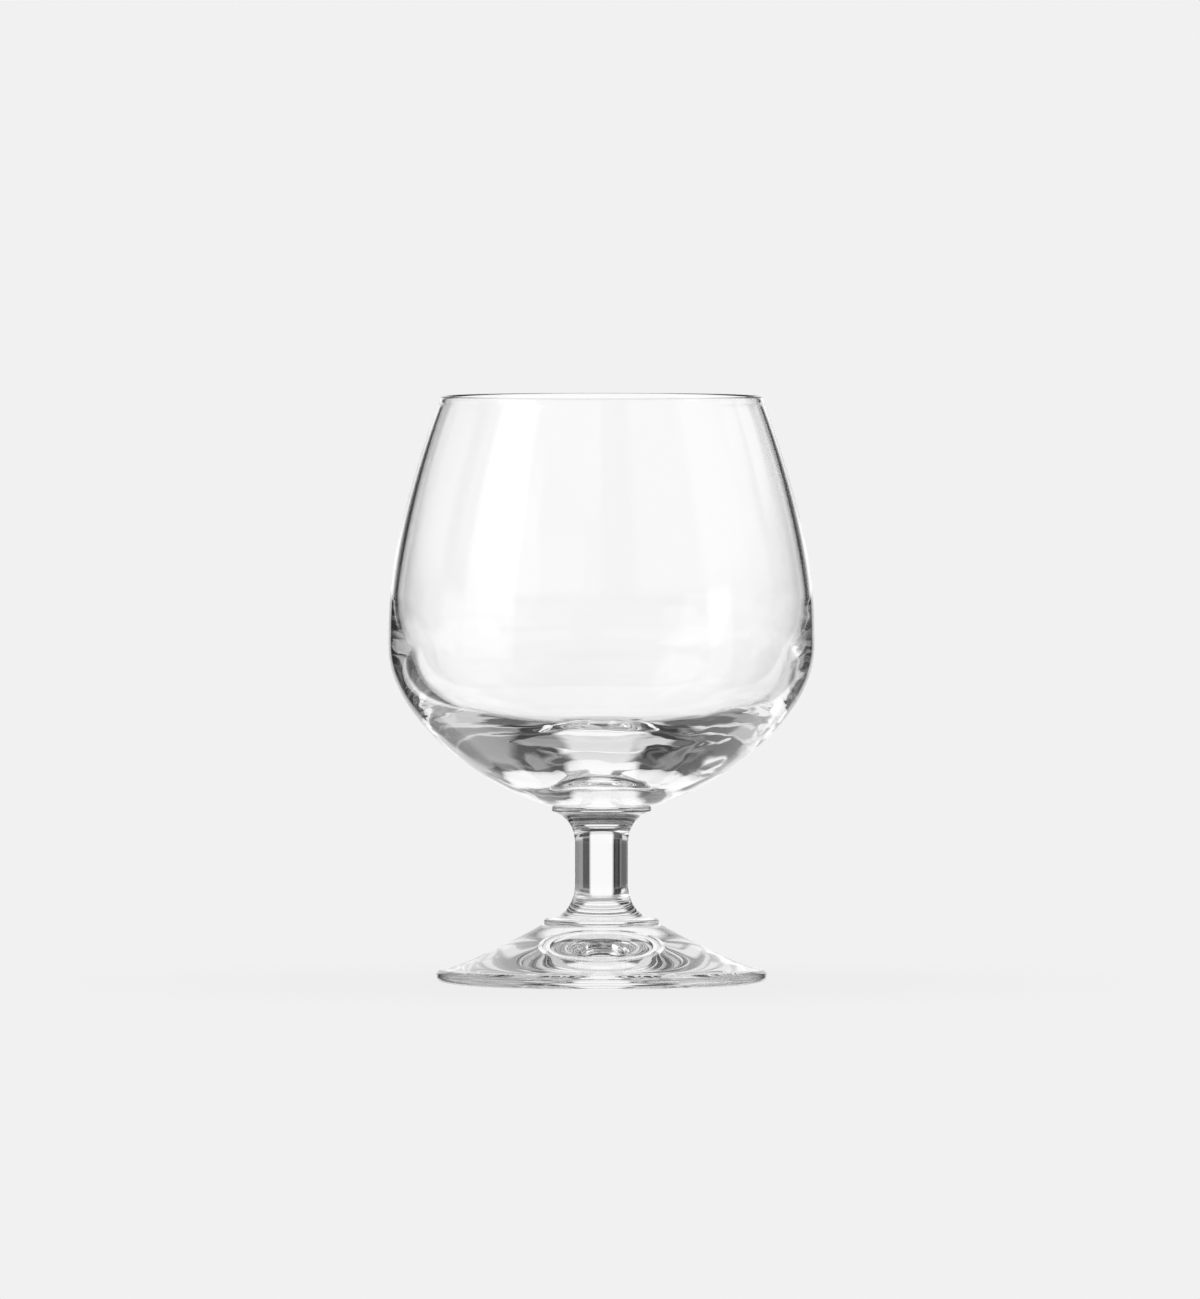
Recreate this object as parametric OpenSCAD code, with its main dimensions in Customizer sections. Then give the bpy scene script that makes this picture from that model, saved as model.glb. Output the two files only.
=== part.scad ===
// Brandy snifter in clear glass: a thick-bottomed bowl, a collar, a short waisted stem,
// a second collar and a conical foot, each gathered by itself and fused to the next.
// Millimetres. The glass stands on z = 0 with its axis on z.

/* [Bowl] */
// Diameter of the mouth over the lip
rim_d = 68.3; // [60:0.1:76]
// Widest diameter of the bowl
belly_d = 90.3; // [82:0.1:100]
// Height of the bowl from its seat to the lip
bowl_h = 86.9; // [76:0.1:98]
// Height of the widest point above the seat
belly_h = 34; // [31:0.1:37]
// Lean of the wall inwards at the lip, in degrees
rim_lean = 20.3; // [14:0.1:26]
// Slope of the underside where it meets the collar, in degrees
heel_slope = 13.4; // [8:0.1:20]

/* [Wall and floor] */
// Thickness of the wall at the lip
lip_t = 1.1; // [0.8:0.05:1.6]
// Height of the cavity's widest point above the seat
cavity_h = 44.2; // [41:0.1:48]
// Thickness of the wall where the cavity is widest
belly_t = 1.35; // [1:0.05:3]
// Glass between the seat and the middle of the cavity floor
floor_t = 9.6; // [7:0.1:11]
// Slope of the conical part of the cavity floor, in degrees
floor_slope = 26.3; // [20:0.1:29]
// Radius of the flat middle of the cavity floor
floor_flat_r = 12.1; // [8:0.1:14]
// Distance in from the cavity's widest radius to where the conical floor turns up
hip_inset = 19.4; // [16:0.1:22]

/* [Collars] */
// Diameter of the collar under the bowl
bowl_collar_d = 21.1; // [18:0.1:24]
// Thickness of the collar under the bowl
bowl_collar_t = 1.1; // [0.8:0.05:2]
// Diameter of the collar on the foot
foot_collar_d = 24.5; // [21:0.1:28]
// Thickness of the collar on the foot
foot_collar_t = 1.2; // [0.8:0.05:2]
// Rounding on the edges of both collars
collar_round = 0.3; // [0.1:0.05:0.35]

/* [Stem] */
// Diameter of the stem at its waist
stem_d = 11.3; // [9:0.1:14]
// Height of the stem between the collars
stem_h = 22.8; // [18:0.1:32]
// Step from the edge of the bowl collar in to the flare under it
upper_flare_step = 0.45; // [0.35:0.05:2]
// Height of the flare under the bowl collar
upper_flare_h = 7; // [5:0.1:8]
// Slope of that flare where it meets the collar, in degrees
upper_flare_slope = 26; // [0:1:40]
// Step from the edge of the foot collar in to the flare over it
lower_flare_step = 0.9; // [0.35:0.05:2]
// Height of the flare over the foot collar
lower_flare_h = 7.6; // [5:0.1:9]
// Slope of that flare where it meets the collar, in degrees
lower_flare_slope = 4; // [0:1:40]

/* [Foot] */
// Diameter of the foot
foot_d = 70.2; // [62:0.1:80]
// Height of the foot under its collar
foot_h = 12.4; // [10:0.1:16]
// Width of the foot's shoulder beyond the edge of its collar
shoulder_w = 0.5; // [0:0.1:2]
// Slope of the foot under the collar, in degrees
foot_slope = 33; // [24:1:38]
// Slope of the foot where it reaches its blunt edge, in degrees
foot_rim_slope = 2; // [0:1:12]
// Height of the blunt edge of the foot
edge_h = 2.9; // [2.4:0.1:4]
// Height of the widest point of that edge
edge_mid_h = 1.75; // [1.2:0.05:2.2]
// Distance in from the widest point to the corner at the top of the edge
edge_inset = 0.85; // [0.4:0.05:1.5]
// Distance in from the edge of the foot to the flat ring that the glass stands on
rest_inset = 2.3; // [1.8:0.1:6]
// Width of that flat ring
rest_w = 1.5; // [1:0.1:4]
// Height of the hollow under the foot
hollow_h = 5.2; // [2:0.1:6.5]

/* [Hidden] */

// Segments round each revolved piece, and along each curve of an outline
$fn = 96;
curve_steps = 16;
round_steps = 6;

// Reach of each curve's handles, as shares of the height or width that the curve spans
belly_up_share = 0.164;
lip_down_share = 0.579;
belly_down_share = 0.506;
heel_out_share = 0.312;
inner_up_share = 0.13;
inner_lip_share = 0.51;
hip_down_share = 0.224;
hip_in_share = 1.077;
floor_blend_share = 0.54;
flare_side_share = 0.6;
flare_end_share = 0.5;
foot_top_share = 0.06;
foot_rim_share = 0.2;
edge_top_share = 0.4;
edge_low_share = 0.55;
hollow_crown_share = 0.3;

// Heights of the seats, from the table up
foot_collar_z = foot_h;
stem_z = foot_collar_z + foot_collar_t;
bowl_collar_z = stem_z + stem_h;
bowl_z = bowl_collar_z + bowl_collar_t;

rim_r = rim_d / 2;
belly_r = belly_d / 2;
stem_r = stem_d / 2;
foot_r = foot_d / 2;
seat_r = bowl_collar_d / 2;
foot_top_r = foot_collar_d / 2 + shoulder_w;

glass = [0.90, 0.94, 0.94, 0.4];

// One point of a cubic curve from a to d, drawn towards b and c
function curve_point(a, b, c, d, t) =
    pow(1 - t, 3) * a + 3 * pow(1 - t, 2) * t * b + 3 * (1 - t) * t * t * c + pow(t, 3) * d;

// The curve's points after its start, so that curves join end to end
function curve(a, b, c, d, steps = curve_steps) =
    [for (i = [1:steps]) curve_point(a, b, c, d, i / steps)];

// Points of an arc round a centre, after its start
function arc(centre, r, from, to, steps = round_steps) =
    [for (i = [1:steps]) let (a = from + (to - from) * i / steps)
        centre + r * [cos(a), sin(a)]];

// Outside of the bowl: heel on the collar, belly, and the wall drawn in to the lip
seat_edge = [seat_r, 0];
belly = [belly_r, belly_h];
lip_outer = [rim_r, bowl_h - lip_t / 2];
upper_h = lip_outer.y - belly_h;
heel_reach = (belly_r - seat_r) * heel_out_share;
bowl_outside = concat(
    [seat_edge],
    curve(seat_edge, seat_edge + heel_reach * [1, tan(heel_slope)],
          belly - [0, belly_h * belly_down_share], belly),
    curve(belly, belly + [0, upper_h * belly_up_share],
          lip_outer + upper_h * lip_down_share * [tan(rim_lean), -1], lip_outer)
);

// Radius of that outside at a height over the seat
function outside_r(h) = lookup(h, [for (p = bowl_outside) [p.y, p.x]]);

// Inside of the bowl: the wall thickens all the way down, then a conical floor with a flat middle
cavity_widest = [outside_r(cavity_h) - belly_t, cavity_h];
lip_inner = [rim_r - lip_t, lip_outer.y];
inner_h = lip_inner.y - cavity_h;
hip_r = cavity_widest.x - hip_inset;
flat_edge = [floor_flat_r, floor_t];
hip = [hip_r, floor_t + (hip_r - floor_flat_r) * tan(floor_slope)];
blend = floor_flat_r * floor_blend_share;
blend_out = flat_edge + blend * [1, tan(floor_slope)];
blend_in = flat_edge - [blend, 0];
hip_drop = (cavity_h - hip.y) * hip_down_share;
hip_reach = hip_inset * hip_in_share;

bowl_outline = concat(
    [[0, 0]],
    bowl_outside,
    arc((lip_outer + lip_inner) / 2, lip_t / 2, 0, 180),
    curve(lip_inner, lip_inner + inner_h * inner_lip_share * [tan(rim_lean), -1],
          cavity_widest + [0, inner_h * inner_up_share], cavity_widest),
    curve(cavity_widest, cavity_widest - [0, hip_drop],
          hip + hip_reach * [1, tan(floor_slope)], hip),
    [blend_out],
    curve(blend_out, flat_edge, flat_edge, blend_in, round_steps),
    [[0, floor_t]]
);

// A disc with rounded edges, standing on z = 0
module collar(d, t) {
    edge_r = d / 2 - collar_round;
    rotate_extrude()
        polygon(concat(
            [[0, 0], [edge_r, 0]],
            arc([edge_r, collar_round], collar_round, -90, 0),
            [[d / 2, t - collar_round]],
            arc([edge_r, t - collar_round], collar_round, 0, 90),
            [[0, t]]
        ));
}

// Outline of a flare h high, as offsets from the middle of the end that meets a collar:
// from the side of the stem out to the edge of that end
function flare(end_r, h, slope) = let (w = (end_r - stem_r) * flare_end_share)
    curve([stem_r, h], [stem_r, h * (1 - flare_side_share)],
          [end_r - w, w * tan(slope)], [end_r, 0]);

module bowl() {
    color(glass)
        translate([0, 0, bowl_z])
            rotate_extrude() polygon(bowl_outline);
}

module bowl_collar() {
    color(glass)
        translate([0, 0, bowl_collar_z])
            collar(bowl_collar_d, bowl_collar_t);
}

module stem() {
    lower = flare(foot_collar_d / 2 - lower_flare_step, lower_flare_h, lower_flare_slope);
    upper = flare(bowl_collar_d / 2 - upper_flare_step, upper_flare_h, upper_flare_slope);
    color(glass)
        translate([0, 0, stem_z])
            rotate_extrude()
                polygon(concat(
                    [[0, 0]],
                    [for (i = [len(lower) - 1:-1:0]) lower[i]],
                    [[stem_r, lower_flare_h], [stem_r, stem_h - upper_flare_h]],
                    [for (p = upper) [p.x, stem_h - p.y]],
                    [[0, stem_h]]
                ));
}

module foot_collar() {
    color(glass)
        translate([0, 0, foot_collar_z])
            collar(foot_collar_d, foot_collar_t);
}

// Foot: a hollow cone with a thick blunt edge and a narrow flat ring to stand on
module foot() {
    ring_outer = [foot_r - rest_inset, 0];
    ring_inner = ring_outer - [rest_w, 0];
    edge_mid = [foot_r, edge_mid_h];
    edge_top = [foot_r - edge_inset, edge_h];
    top_edge = [foot_top_r, foot_h];
    crown = [0, hollow_h];
    width = edge_top.x - top_edge.x;
    edge_turn = [foot_r, edge_mid_h + (edge_h - edge_mid_h) * edge_top_share];
    color(glass)
        rotate_extrude()
            polygon(concat(
                [ring_inner, ring_outer],
                curve(ring_outer, ring_outer + [rest_inset * edge_low_share, 0],
                      edge_mid - [0, edge_mid_h * edge_low_share], edge_mid, round_steps),
                curve(edge_mid, edge_turn, edge_turn, edge_top, round_steps),
                curve(edge_top, edge_top + width * foot_rim_share * [-1, tan(foot_rim_slope)],
                      top_edge + width * foot_top_share * [1, -tan(foot_slope)], top_edge),
                [[0, foot_h], crown],
                curve(crown, crown + [ring_inner.x * hollow_crown_share, 0],
                      (crown + ring_inner) / 2, ring_inner)
            ));
}

bowl();
bowl_collar();
stem();
foot_collar();
foot();
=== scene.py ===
# Brandy snifter: five pieces of clear glass, fused hot, on a pale studio table.
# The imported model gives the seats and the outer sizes. This script gives each piece its true
# thickness, the unevenness that hot glass keeps, its fire-polished skin and a glass photographer's light.

import math

import bmesh
import bpy
from mathutils import Matrix, Vector, noise


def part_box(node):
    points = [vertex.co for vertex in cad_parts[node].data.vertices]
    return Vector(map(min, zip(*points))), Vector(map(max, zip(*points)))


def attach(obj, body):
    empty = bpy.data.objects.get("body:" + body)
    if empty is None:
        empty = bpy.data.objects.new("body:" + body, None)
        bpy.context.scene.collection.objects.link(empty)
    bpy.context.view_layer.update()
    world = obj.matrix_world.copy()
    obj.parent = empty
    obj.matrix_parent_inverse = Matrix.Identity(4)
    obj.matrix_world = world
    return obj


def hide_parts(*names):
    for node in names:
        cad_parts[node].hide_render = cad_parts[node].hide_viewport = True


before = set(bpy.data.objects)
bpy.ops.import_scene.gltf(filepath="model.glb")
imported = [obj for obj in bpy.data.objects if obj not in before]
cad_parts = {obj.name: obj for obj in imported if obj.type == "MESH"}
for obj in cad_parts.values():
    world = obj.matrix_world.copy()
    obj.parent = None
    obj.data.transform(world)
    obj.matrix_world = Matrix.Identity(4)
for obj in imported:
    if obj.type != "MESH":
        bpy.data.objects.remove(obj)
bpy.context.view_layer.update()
print("frame loaded:", ", ".join(sorted(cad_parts)))

mm = 0.001

# Where the glass stands in the photograph's frame, and how large a pixel is at its axis
photo = {
    "width": 1200,
    "height": 1299,
    "axisX": 601.5,
    "tableY": 983.4,
    "pixelSize": 0.21168 * mm,
    "distance": 5.5,  # a long lens, so that both sides of the glass are seen alike
    "eyeHeight": 0.225,
    "filmHeight": 36.0,
    "clipEnd": 100,
}


def makeCamera():
    aimX = (photo["width"] / 2 - photo["axisX"]) * photo["pixelSize"]
    aimZ = (photo["tableY"] - photo["height"] / 2) * photo["pixelSize"]
    place = Vector((aimX, -photo["distance"], photo["eyeHeight"]))
    sight = Vector((aimX, 0, aimZ)) - place
    data = bpy.data.cameras.new("studioCamera")
    data.sensor_fit = "VERTICAL"
    data.sensor_height = photo["filmHeight"]
    data.lens = photo["filmHeight"] * sight.length / (photo["height"] * photo["pixelSize"])
    data.clip_end = photo["clipEnd"]
    camera = bpy.data.objects.new("studioCamera", data)
    camera.location = place
    camera.rotation_euler = sight.to_track_quat("-Z", "Y").to_euler()
    bpy.context.scene.collection.objects.link(camera)
    bpy.context.scene.camera = camera


makeCamera()
print("camera set")


def toLinear(hexColour):
    channels = [int(hexColour[i:i + 2], 16) / 255 for i in (1, 3, 5)]
    linear = [c / 12.92 if c <= 0.04045 else ((c + 0.055) / 1.055) ** 2.4 for c in channels]
    return (*linear, 1)


# One function adds every node: its settings, then its sockets, each with a value or a link
def addNode(tree, kind, settings=None, sockets=None):
    node = tree.nodes.new(kind)
    for name, value in (settings or {}).items():
        setattr(node, name, value)
    for name, value in (sockets or {}).items():
        if isinstance(value, bpy.types.NodeSocket):
            tree.links.new(value, node.inputs[name])
        else:
            node.inputs[name].default_value = value
    return node


def newTree(owner):
    owner.use_nodes = True
    owner.node_tree.nodes.clear()
    return owner.node_tree


# Soda-lime glass, blown or pressed and then fire-polished: it bends what is behind it into bright
# and dark bands, and its skin, never quite even, makes the edges of those bands waver.
glassFinish = {
    "tint": "#ffffff",
    "ior": 1.52,
    "detail": 2.0,
    "roughness": 0.4,  # of the swells, not of the skin
    "blown": {"swell": 9.0, "depth": 0.002},  # mm between swells, and mm deep
    "pressed": {"swell": 2.4, "depth": 0.002},
}


def makeGlass(name, skin):
    material = bpy.data.materials.new(name)
    tree = newTree(material)
    place = addNode(tree, "ShaderNodeTexCoord")
    swell = addNode(tree, "ShaderNodeTexNoise", {}, {
        "Vector": place.outputs["Object"], "Scale": 1 / (skin["swell"] * mm),
        "Detail": glassFinish["detail"], "Roughness": glassFinish["roughness"]})
    bump = addNode(tree, "ShaderNodeBump", {}, {
        "Height": swell.outputs["Fac"], "Distance": skin["depth"] * mm, "Strength": 1.0})
    shader = addNode(tree, "ShaderNodeBsdfPrincipled", {}, {
        "Base Color": toLinear(glassFinish["tint"]), "IOR": glassFinish["ior"], "Roughness": 0.0,
        "Transmission Weight": 1.0, "Normal": bump.outputs["Normal"]})
    addNode(tree, "ShaderNodeOutputMaterial", {}, {"Surface": shader.outputs["BSDF"]})
    return material


# Where two pieces are fused there is no surface left, so light goes straight on
def makeSeam():
    material = bpy.data.materials.new("fused_seam")
    tree = newTree(material)
    shader = addNode(tree, "ShaderNodeBsdfPrincipled", {}, {"Alpha": 0.0, "IOR": glassFinish["ior"]})
    addNode(tree, "ShaderNodeOutputMaterial", {}, {"Surface": shader.outputs["BSDF"]})
    return material


blownGlass = makeGlass("blown_soda_lime_glass", glassFinish["blown"])
pressedGlass = makeGlass("pressed_soda_lime_glass", glassFinish["pressed"])
seam = makeSeam()


# Points of a cubic curve after its start, so that curves join end to end
def curve(a, b, c, d, steps):
    a, b, c, d = (Vector(p) for p in (a, b, c, d))
    return [(1 - t) ** 3 * a + 3 * (1 - t) ** 2 * t * b + 3 * (1 - t) * t * t * c + t ** 3 * d
            for t in (i / steps for i in range(1, steps + 1))]


def arc(centre, radius, start, end, steps):
    turns = (math.radians(start + (end - start) * i / steps) for i in range(1, steps + 1))
    return [Vector(centre) + radius * Vector((math.cos(a), math.sin(a))) for a in turns]


def line(a, b, steps):
    return [Vector(a).lerp(Vector(b), i / steps) for i in range(1, steps + 1)]


def tangent(degrees):
    return math.tan(math.radians(degrees))


# Height of a node's lower or upper end, in mm over the table
def seat(node, top=False):
    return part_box(node)[1 if top else 0].z / mm


def radiusOf(node):
    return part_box(node)[1].x / mm


bowlLow, stemLow, stemHigh = seat("bowl"), seat("stem"), seat("stem", top=True)
footTop = seat("foot", top=True)


# A share from 0 to 1 that eases in and out as the value goes from low to high
def between(value, low, high):
    share = min(max((value - low) / (high - low), 0), 1)
    return share * share * (3 - 2 * share)


def wave(place, length, seed=0):
    return noise.noise(place / length + Vector((seed, seed, 0)))


# How far a corner's surface faces away from the axis: 1 outwards, -1 inwards
def outwardness(v, place):
    return v.normal.xy.dot(place.xy) / max(place.xy.length, turning["nearAxis"])


# Moves every corner of a mesh along its normal by as many mm as the rule gives
def roughen(mesh, rule):
    mesh.normal_update()
    moves = [(v, v.normal * rule(v, v.co / mm) * mm) for v in mesh.verts]
    for v, move in moves:
        v.co += move


turning = {
    "sector": 11.25,  # degrees spun, then doubled five times to the full turn
    "sectorSteps": 9,
    "doublings": 5,
    "sharpAngle": 32,
    "seamReach": 0.01,  # mm from a seam's height within which a face belongs to it
    "merge": 0.0005,  # mm
    "nearAxis": 0.001,  # mm, the least radius that a direction from the axis is divided by
}


# Spins a half outline, in mm from the axis, into a closed piece of glass
def spinPiece(name, outline, node, material, seams, unevenness=None):
    mesh = bmesh.new()
    points = [mesh.verts.new((p[0] * mm, 0, p[1] * mm)) for p in outline]
    edges = [mesh.edges.new(pair) for pair in zip(points, points[1:])]
    angle = math.radians(turning["sector"])
    bmesh.ops.spin(mesh, geom=points + edges, cent=(0, 0, 0), axis=(0, 0, 1),
                   angle=angle, steps=turning["sectorSteps"])
    for _ in range(turning["doublings"]):
        copy = bmesh.ops.duplicate(mesh, geom=mesh.verts[:] + mesh.edges[:] + mesh.faces[:])
        corners = [v for v in copy["geom"] if isinstance(v, bmesh.types.BMVert)]
        bmesh.ops.rotate(mesh, verts=corners, cent=(0, 0, 0), matrix=Matrix.Rotation(angle, 3, "Z"))
        angle *= 2
    bmesh.ops.remove_doubles(mesh, verts=mesh.verts, dist=turning["merge"] * mm)
    bmesh.ops.recalc_face_normals(mesh, faces=mesh.faces)
    if unevenness:
        roughen(mesh, unevenness)
    for face in mesh.faces:
        face.smooth = True
        middle = face.calc_center_median() / mm
        for height, reach in seams:
            if abs(middle.z - height) < turning["seamReach"] and middle.xy.length < reach:
                face.material_index = 1
    data = bpy.data.meshes.new(name)
    mesh.to_mesh(data)
    mesh.free()
    data.set_sharp_from_angle(angle=math.radians(turning["sharpAngle"]))
    data.materials.append(material)
    data.materials.append(seam)
    piece = bpy.data.objects.new(name, data)
    bpy.context.scene.collection.objects.link(piece)
    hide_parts(node)
    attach(piece, "root")
    return piece


# Heights are over the bowl's own seat. The thickness of the wall and the shape of the floor decide
# where the glass turns bright and dark.
bowl = {
    "bellyHeight": 34.0,
    "rimRadius": 34.15,
    "rimLean": 20.3,
    "heelSlope": 13.4,
    "lipWall": 1.1,
    "cavityHeight": 43.65,
    "cavityWall": 1.6,
    "floor": 10.02,
    "floorSlope": 23.27,
    "flatRadius": 11.66,
    "hipInset": 15.15,
    "bellyUp": 0.164,
    "lipDown": 0.579,
    "bellyDown": 0.506,
    "heelOut": 0.312,
    "innerUp": 0.103,
    "innerLip": 0.434,
    "hipDown": 0.392,
    "hipIn": 0.832,
    "floorBlend": 0.487,
    "undersideSteps": 64,
    "wallSteps": 48,
    "lipSteps": 12,
    "hipSteps": 64,
    "floorSteps": 12,
    "blendSteps": 16,
    "flatSteps": 6,
    # How far the hand-worked glass strays from true, in mm, over waves of the given length
    "floorWave": {"depth": 0.13, "length": 8.0},
    "floorRipple": {"depth": 0.022, "length": 2.4, "seed": 7},
    "floorFade": (12, 22),  # the heights between which those two die out up the wall
    "rightFadeMore": 6,
    "rightSide": (4, 34),  # from the axis to the right, where the floor grows wavier
    "rightMore": 1.2,
    "undersideWave": {"depth": 0.05, "length": 6.0, "seed": 3},
    "undersideRise": (0.6, 4),
    "undersideFade": (8, 20),
    "outwardLimit": 0.02,  # over this a surface faces outwards
    "soleHeight": 2,  # under this it is the underside, whichever way it faces
    "wallRipple": {"depth": 0.035, "length": 1.7, "seed": 5},
    "wallRise": (22, 28),
    "wallFade": (38, 46),
    "wallSide": (0.93, 0.99),  # as a share of the radius, so that only the right edge ripples
    "ridgeStretch": 6,  # ridges run this many times longer round the wall than up it
}


def bowlOutline():
    b = bowl
    height = seat("bowl", top=True) - bowlLow
    seatRadius = radiusOf("bowl_collar")
    seatEdge = Vector((seatRadius, 0))
    belly = Vector((radiusOf("bowl"), b["bellyHeight"]))
    lipOuter = Vector((b["rimRadius"], height - b["lipWall"] / 2))
    upper = lipOuter.y - belly.y
    lean = tangent(b["rimLean"])
    heel = (belly.x - seatRadius) * b["heelOut"]
    outside = [seatEdge]
    outside += curve(seatEdge, seatEdge + heel * Vector((1, tangent(b["heelSlope"]))),
                     belly - Vector((0, belly.y * b["bellyDown"])), belly, b["undersideSteps"])
    outside += curve(belly, belly + Vector((0, upper * b["bellyUp"])),
                     lipOuter + upper * b["lipDown"] * Vector((lean, -1)), lipOuter, b["wallSteps"])
    below, above = next(pair for pair in zip(outside, outside[1:]) if pair[1].y > b["cavityHeight"])
    share = (b["cavityHeight"] - below.y) / (above.y - below.y)
    widest = below.lerp(above, share) - Vector((b["cavityWall"], 0))
    lipInner = lipOuter - Vector((b["lipWall"], 0))
    innerUpper = lipInner.y - widest.y
    flatEdge = Vector((b["flatRadius"], b["floor"]))
    hipRadius = widest.x - b["hipInset"]
    slope = tangent(b["floorSlope"])
    hip = Vector((hipRadius, b["floor"] + (hipRadius - flatEdge.x) * slope))
    blend = b["flatRadius"] * b["floorBlend"]
    blendOut = flatEdge + blend * Vector((1, slope))
    blendIn = flatEdge - Vector((blend, 0))
    hipDrop = (widest.y - hip.y) * b["hipDown"]
    hipReach = b["hipInset"] * b["hipIn"]
    points = [Vector((0, 0)), Vector((seatRadius - collar["round"], 0))] + outside
    points += arc((lipOuter + lipInner) / 2, b["lipWall"] / 2, 0, 180, b["lipSteps"])
    points += curve(lipInner, lipInner + innerUpper * b["innerLip"] * Vector((lean, -1)),
                    widest + Vector((0, innerUpper * b["innerUp"])), widest, b["wallSteps"])
    points += curve(widest, widest - Vector((0, hipDrop)),
                    hip + hipReach * Vector((1, slope)), hip, b["hipSteps"])
    points += line(hip, blendOut, b["floorSteps"])
    points += curve(blendOut, flatEdge, flatEdge, blendIn, b["blendSteps"])
    points += line(blendIn, (0, b["floor"]), b["flatSteps"])
    return [p + Vector((0, bowlLow)) for p in points]


# Waves in the floor of the bowl and its underside, and a fine ripple in the right wall
def bowlUnevenness(v, place):
    b = bowl
    height = place.z - bowlLow
    if outwardness(v, place) > b["outwardLimit"] or height < b["soleHeight"]:
        under = b["undersideWave"]
        amount = under["depth"] * wave(place, under["length"], under["seed"])
        return amount * between(height, *b["undersideRise"]) * (1 - between(height, *b["undersideFade"]))
    right = between(place.x, *b["rightSide"])
    fadeLow, fadeHigh = b["floorFade"]
    onFloor = 1 - between(height, fadeLow, fadeHigh + b["rightFadeMore"] * right)
    broad, fine, ripple = b["floorWave"], b["floorRipple"], b["wallRipple"]
    amount = broad["depth"] * wave(place, broad["length"])
    amount += fine["depth"] * wave(place, fine["length"], fine["seed"])
    amount *= onFloor * (1 + b["rightMore"] * right)
    side = between(place.x / max(place.xy.length, turning["nearAxis"]), *b["wallSide"])
    band = between(height, *b["wallRise"]) * (1 - between(height, *b["wallFade"]))
    stretched = Vector((place.x / b["ridgeStretch"], place.y / b["ridgeStretch"], place.z))
    ridge = wave(stretched, ripple["length"], ripple["seed"])
    return amount + ripple["depth"] * ridge * side * band


collar = {
    "round": 0.3,
    "roundSteps": 8,
}


def collarOutline(node):
    edge, steps = collar["round"], collar["roundSteps"]
    low, high, radius = seat(node), seat(node, top=True), radiusOf(node)
    inner = radius - edge
    points = [Vector((0, low)), Vector((inner, low))]
    points += arc((inner, low + edge), edge, -90, 0, steps)
    points += [Vector((radius, high - edge))]
    points += arc((inner, high - edge), edge, 0, 90, steps)
    return points + [Vector((0, high))]


stem = {
    "radius": 5.65,
    "upperStep": 0.45,
    "upperHeight": 7.0,
    "upperSlope": 26,
    "lowerStep": 0.9,
    "lowerHeight": 7.6,
    "lowerSlope": 4,
    "sideShare": 0.6,
    "endShare": 0.5,
    "flareSteps": 32,
    "shaftSteps": 10,
}


# From the side of the shaft out to the end that meets a collar
def flare(endRadius, height, slope):
    width = (endRadius - stem["radius"]) * stem["endShare"]
    return curve((stem["radius"], height), (stem["radius"], height * (1 - stem["sideShare"])),
                 (endRadius - width, width * tangent(slope)), (endRadius, 0), stem["flareSteps"])


def stemOutline():
    s = stem
    lower = flare(radiusOf("foot_collar") - s["lowerStep"], s["lowerHeight"], s["lowerSlope"])
    upper = flare(radiusOf("bowl_collar") - s["upperStep"], s["upperHeight"], s["upperSlope"])
    shaftLow = Vector((s["radius"], stemLow + s["lowerHeight"]))
    shaftHigh = Vector((s["radius"], stemHigh - s["upperHeight"]))
    points = [Vector((0, stemLow))] + [Vector((p.x, stemLow + p.y)) for p in reversed(lower)]
    points += [shaftLow] + line(shaftLow, shaftHigh, s["shaftSteps"])
    points += [Vector((p.x, stemHigh - p.y)) for p in upper]
    return points + [Vector((0, stemHigh))]


foot = {
    "shoulder": 0.5,
    "slope": 33,
    "rimSlope": 2,
    "edgeHeight": 2.9,
    "edgeMiddle": 1.75,
    "edgeInset": 0.85,
    "restInset": 2.3,
    "restWidth": 1.5,
    "hollow": 5.2,
    "topShare": 0.06,
    "rimShare": 0.2,
    "edgeTopShare": 0.4,
    "edgeLowShare": 0.55,
    "hollowShare": 0.3,
    "hollowSteps": 64,
    "restSteps": 2,
    "edgeLowSteps": 18,
    "edgeTopSteps": 14,
    "topSteps": 56,
    # The hollow is a little wavy, and the edge keeps the line where the mould closed
    "hollowWave": {"depth": 0.018, "length": 9.0, "seed": 2},
    "hollowRise": (0.4, 1.5),  # heights between which that wave sets in
    "downwardLimit": -0.5,
    "outwardLimit": 0.5,
    "mouldLine": {"height": 1.72, "depth": 0.07, "half": 0.28},
}


def footOutline():
    f = foot
    radius = radiusOf("foot")
    ringOuter = Vector((radius - f["restInset"], 0))
    ringInner = ringOuter - Vector((f["restWidth"], 0))
    edgeMid = Vector((radius, f["edgeMiddle"]))
    edgeTop = Vector((radius - f["edgeInset"], f["edgeHeight"]))
    edgeTurn = edgeMid + Vector((0, (edgeTop.y - edgeMid.y) * f["edgeTopShare"]))
    low = f["edgeLowShare"]
    topEdge = Vector((radiusOf("foot_collar") + f["shoulder"], footTop))
    collarEdge = Vector((radiusOf("foot_collar") - collar["round"], footTop))
    crown = Vector((0, f["hollow"]))
    width = edgeTop.x - topEdge.x
    points = [crown]
    points += curve(crown, crown + Vector((ringInner.x * f["hollowShare"], 0)),
                    (crown + ringInner) / 2, ringInner, f["hollowSteps"])
    points += line(ringInner, ringOuter, f["restSteps"])
    points += curve(ringOuter, ringOuter + Vector((f["restInset"] * low, 0)),
                    edgeMid - Vector((0, edgeMid.y * low)), edgeMid, f["edgeLowSteps"])
    points += curve(edgeMid, edgeTurn, edgeTurn, edgeTop, f["edgeTopSteps"])
    points += curve(edgeTop, edgeTop + width * f["rimShare"] * Vector((-1, tangent(f["rimSlope"]))),
                    topEdge + width * f["topShare"] * Vector((1, -tangent(f["slope"]))), topEdge,
                    f["topSteps"])
    return points + [collarEdge, Vector((0, footTop))]


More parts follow.
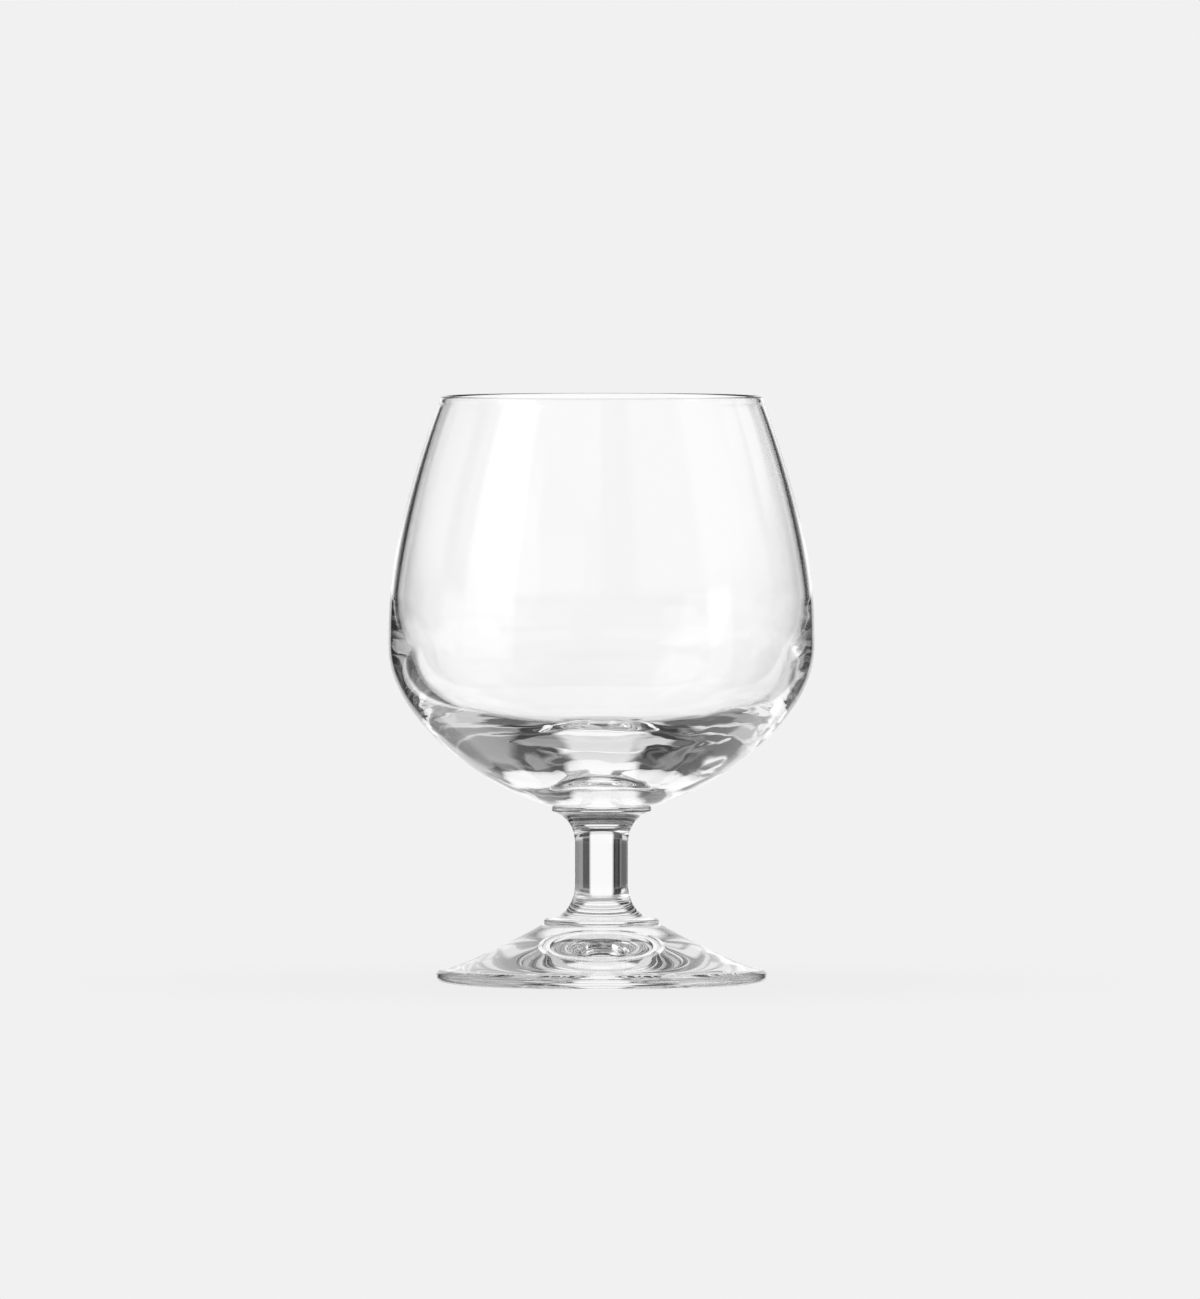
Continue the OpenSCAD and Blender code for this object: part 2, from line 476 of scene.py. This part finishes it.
def footUnevenness(v, place):
    hollow, mould = foot["hollowWave"], foot["mouldLine"]
    if v.normal.z < foot["downwardLimit"] and place.z > foot["hollowRise"][0]:
        swell = hollow["depth"] * wave(place, hollow["length"], hollow["seed"])
        return swell * between(place.z, *foot["hollowRise"])
    if outwardness(v, place) > foot["outwardLimit"]:
        return -mould["depth"] * (1 - between(abs(place.z - mould["height"]), 0, mould["half"]))
    return 0


bowlSeam = radiusOf("bowl_collar") - collar["round"]
footSeam = radiusOf("foot_collar") - collar["round"]
wholeFace = radiusOf("foot")  # past the edge of any seam

spinPiece("blown_bowl", bowlOutline(), "bowl", blownGlass, [(bowlLow, bowlSeam)], bowlUnevenness)
spinPiece("upper_collar", collarOutline("bowl_collar"), "bowl_collar", pressedGlass,
          [(bowlLow, bowlSeam), (stemHigh, bowlSeam)])
spinPiece("waisted_stem", stemOutline(), "stem", pressedGlass,
          [(stemHigh, wholeFace), (stemLow, wholeFace)])
spinPiece("lower_collar", collarOutline("foot_collar"), "foot_collar", pressedGlass,
          [(footTop, footSeam), (stemLow, footSeam)])
spinPiece("hollow_foot", footOutline(), "foot", pressedGlass, [(footTop, footSeam)], footUnevenness)
print("glass pieces made")


# A lit table: pale to the eye, with a faint shadow under the glass, and it lets the light from
# below through to the glass as an acrylic sheet does
studio = {
    "backdrop": "#f1f1f1",
    "tableRadius": 1.2,
    "tableSegments": 128,
    "tableDrop": 0.1,  # mm under the foot, so that two faces never share a height
    "shadowReach": 0.16,  # metres from the axis to where the shadow has faded
    "shadowShare": 0.06,
    "floorWhite": 0.8,
    "bounces": 32,  # light crosses many skins of glass before it leaves
}


def makeTable():
    mesh = bmesh.new()
    bmesh.ops.create_circle(mesh, cap_ends=True, segments=studio["tableSegments"],
                            radius=studio["tableRadius"])
    bmesh.ops.translate(mesh, verts=mesh.verts, vec=(0, 0, -studio["tableDrop"] * mm))
    data = bpy.data.meshes.new("table")
    mesh.to_mesh(data)
    mesh.free()
    material = bpy.data.materials.new("lit_white_acrylic")
    tree = newTree(material)
    place = addNode(tree, "ShaderNodeTexCoord")
    away = addNode(tree, "ShaderNodeVectorMath", {"operation": "LENGTH"}, {0: place.outputs["Object"]})
    share = addNode(tree, "ShaderNodeMapRange", {"interpolation_type": "SMOOTHSTEP"}, {
        "Value": away.outputs["Value"], "From Min": 0.0, "From Max": studio["shadowReach"],
        "To Min": studio["shadowShare"], "To Max": 0.0})
    glow = addNode(tree, "ShaderNodeEmission", {}, {
        "Color": toLinear(studio["backdrop"]), "Strength": 1.0})
    white = studio["floorWhite"]
    face = addNode(tree, "ShaderNodeBsdfDiffuse", {}, {"Color": (white, white, white, 1)})
    top = addNode(tree, "ShaderNodeMixShader", {}, {
        0: share.outputs["Result"], 1: glow.outputs[0], 2: face.outputs[0]})
    clear = addNode(tree, "ShaderNodeBsdfTransparent")
    path = addNode(tree, "ShaderNodeLightPath")
    mix = addNode(tree, "ShaderNodeMixShader", {}, {
        0: path.outputs["Is Camera Ray"], 1: clear.outputs[0], 2: top.outputs[0]})
    addNode(tree, "ShaderNodeOutputMaterial", {}, {"Surface": mix.outputs[0]})
    data.materials.append(material)
    table = bpy.data.objects.new("table", data)
    bpy.context.scene.collection.objects.link(table)


makeTable()


# A soft-edged card of the room: it spans a turn from straight behind, positive to the right, and a
# rise, in degrees, and its edge fades over as many degrees as soft gives
def card(turn, rise, level, soft=5):
    return {"turn": turn, "rise": rise, "level": level, "soft": soft}


# The room that the glass bends and mirrors. A later card covers an earlier one.
room = {
    "base": 0.35,
    "cards": (
        # Ceiling, the floor of the room, and what stands low round the table
        card((-181, 181), (50, 100), 0.05, 6),
        card((-181, 181), (-100, -66), 0.45, 8),
        card((-181, -118), (-66, -34), 0.4, 6),
        card((118, 181), (-66, -34), 0.6, 6),
        card((84, 118), (-60, -20), 0.7),
        card((-118, -60), (-50, -12), 0.85),
        card((-58, -20), (-66, -37), 0.75),
        card((16, 50), (-60, -22), 0.6),
        card((-90, -58), (-66, -50), 0.15),
        card((50, 84), (-68, -36), 0.28),
        # Walls left and right, dark with a pale stretch over the height of the table
        card((-78, -36), (20, 48), 0.12),
        card((-66, -36), (-20, 8), 0.12),
        card((-78, -40), (8, 24), 0.8, 6),
        card((-80, -66), (-20, 8), 0.45),
        card((44, 68), (20, 50), 0.12),
        card((34, 84), (-10, 8), 0.3),
        card((34, 84), (8, 26), 0.75, 6),
        card((68, 84), (26, 50), 0.55),
        card((84, 160), (10, 48), 0.65),
        card((130, 170), (-30, -10), 0.55, 4),
        card((-181, -131), (8, 48), 0.55, 8),
        # Dark line at the height of the table's edge, to the right and in front
        card((84, 120), (-14, 12), 0.3),
        card((118, 181), (-12, 6), 0.05, 7),
        card((-181, -131), (-14, 4), 0.12, 7),
        # Tall soft lamp on the left, and a low one on the right
        card((-131, -98), (-10, 56), 1.2, 4),
        card((104, 119), (-12, 10), 1.1, 3),
        card((104, 140), (-34, -12), 1.1, 4),
        # Black flags beside the white, which draw the dark edges, with a pale card over the left ones
        card((-42, -20), (-36, -10), 0.02, 4),
        card((-34, -18), (-10, 9), 0.03, 4),
        card((-40, -20), (9, 34), 0.08, 4),
        card((-36, -18), (34, 50), 0.7),
        card((18, 34), (-11, 10), 0.05, 4),
        card((18, 46), (14, 33), 0.03, 4),
        card((20, 44), (-21, -14), 0.15, 3),
        # White straight behind
        card((-19, 19), (-70, -40), 0.75),
        card((-18, 18), (18, 60), 0.8),
        card((-18, 18), (-42, 20), 1.02, 4),
        # Pale windows, so that the glass is clear from its other sides too
        card((-56, -38), (-37, -14), 0.9, 4),
        card((126, 144), (-25, -6), 0.9, 4),
        card((-99, -81), (-12, 7), 0.9, 4),
    ),
}


def makeWorld():
    world = bpy.data.worlds.new("studio")
    bpy.context.scene.world = world
    tree = newTree(world)

    def maths(operation, *values, clamp=False):
        settings = {"operation": operation, "use_clamp": clamp}
        return addNode(tree, "ShaderNodeMath", settings, dict(enumerate(values))).outputs[0]

    def band(value, low, high, soft):
        up = maths("DIVIDE", maths("SUBTRACT", value, low - soft / 2), soft, clamp=True)
        down = maths("DIVIDE", maths("SUBTRACT", high + soft / 2, value), soft, clamp=True)
        return maths("MULTIPLY", up, down)

    place = addNode(tree, "ShaderNodeTexCoord")
    axes = addNode(tree, "ShaderNodeSeparateXYZ", {}, {"Vector": place.outputs["Generated"]})
    x, y, z = axes.outputs
    turn = maths("MULTIPLY", maths("ARCTAN2", x, y), math.degrees(1))
    rise = maths("MULTIPLY", maths("ARCSINE", z), math.degrees(1))
    light = maths("ADD", room["base"], 0)
    for each in room["cards"]:
        shape = maths("MULTIPLY", band(turn, *each["turn"], each["soft"]),
                      band(rise, *each["rise"], each["soft"]))
        step = maths("SUBTRACT", each["level"], light)
        light = maths("ADD", light, maths("MULTIPLY", shape, step))
    path = addNode(tree, "ShaderNodeLightPath")
    grey = addNode(tree, "ShaderNodeCombineColor", {}, {0: light, 1: light, 2: light})
    colour = addNode(tree, "ShaderNodeMix", {"data_type": "RGBA"}, {
        0: path.outputs["Is Camera Ray"], 6: grey.outputs[0], 7: toLinear(studio["backdrop"])})
    back = addNode(tree, "ShaderNodeBackground", {}, {"Color": colour.outputs[2], "Strength": 1.0})
    addNode(tree, "ShaderNodeOutputWorld", {}, {"Surface": back.outputs[0]})


makeWorld()
scene = bpy.context.scene
scene.view_settings.view_transform = "Standard"
scene.cycles.max_bounces = studio["bounces"]
scene.cycles.transmission_bounces = studio["bounces"]
scene.cycles.glossy_bounces = studio["bounces"]
scene.cycles.transparent_max_bounces = studio["bounces"]
print("studio lit")
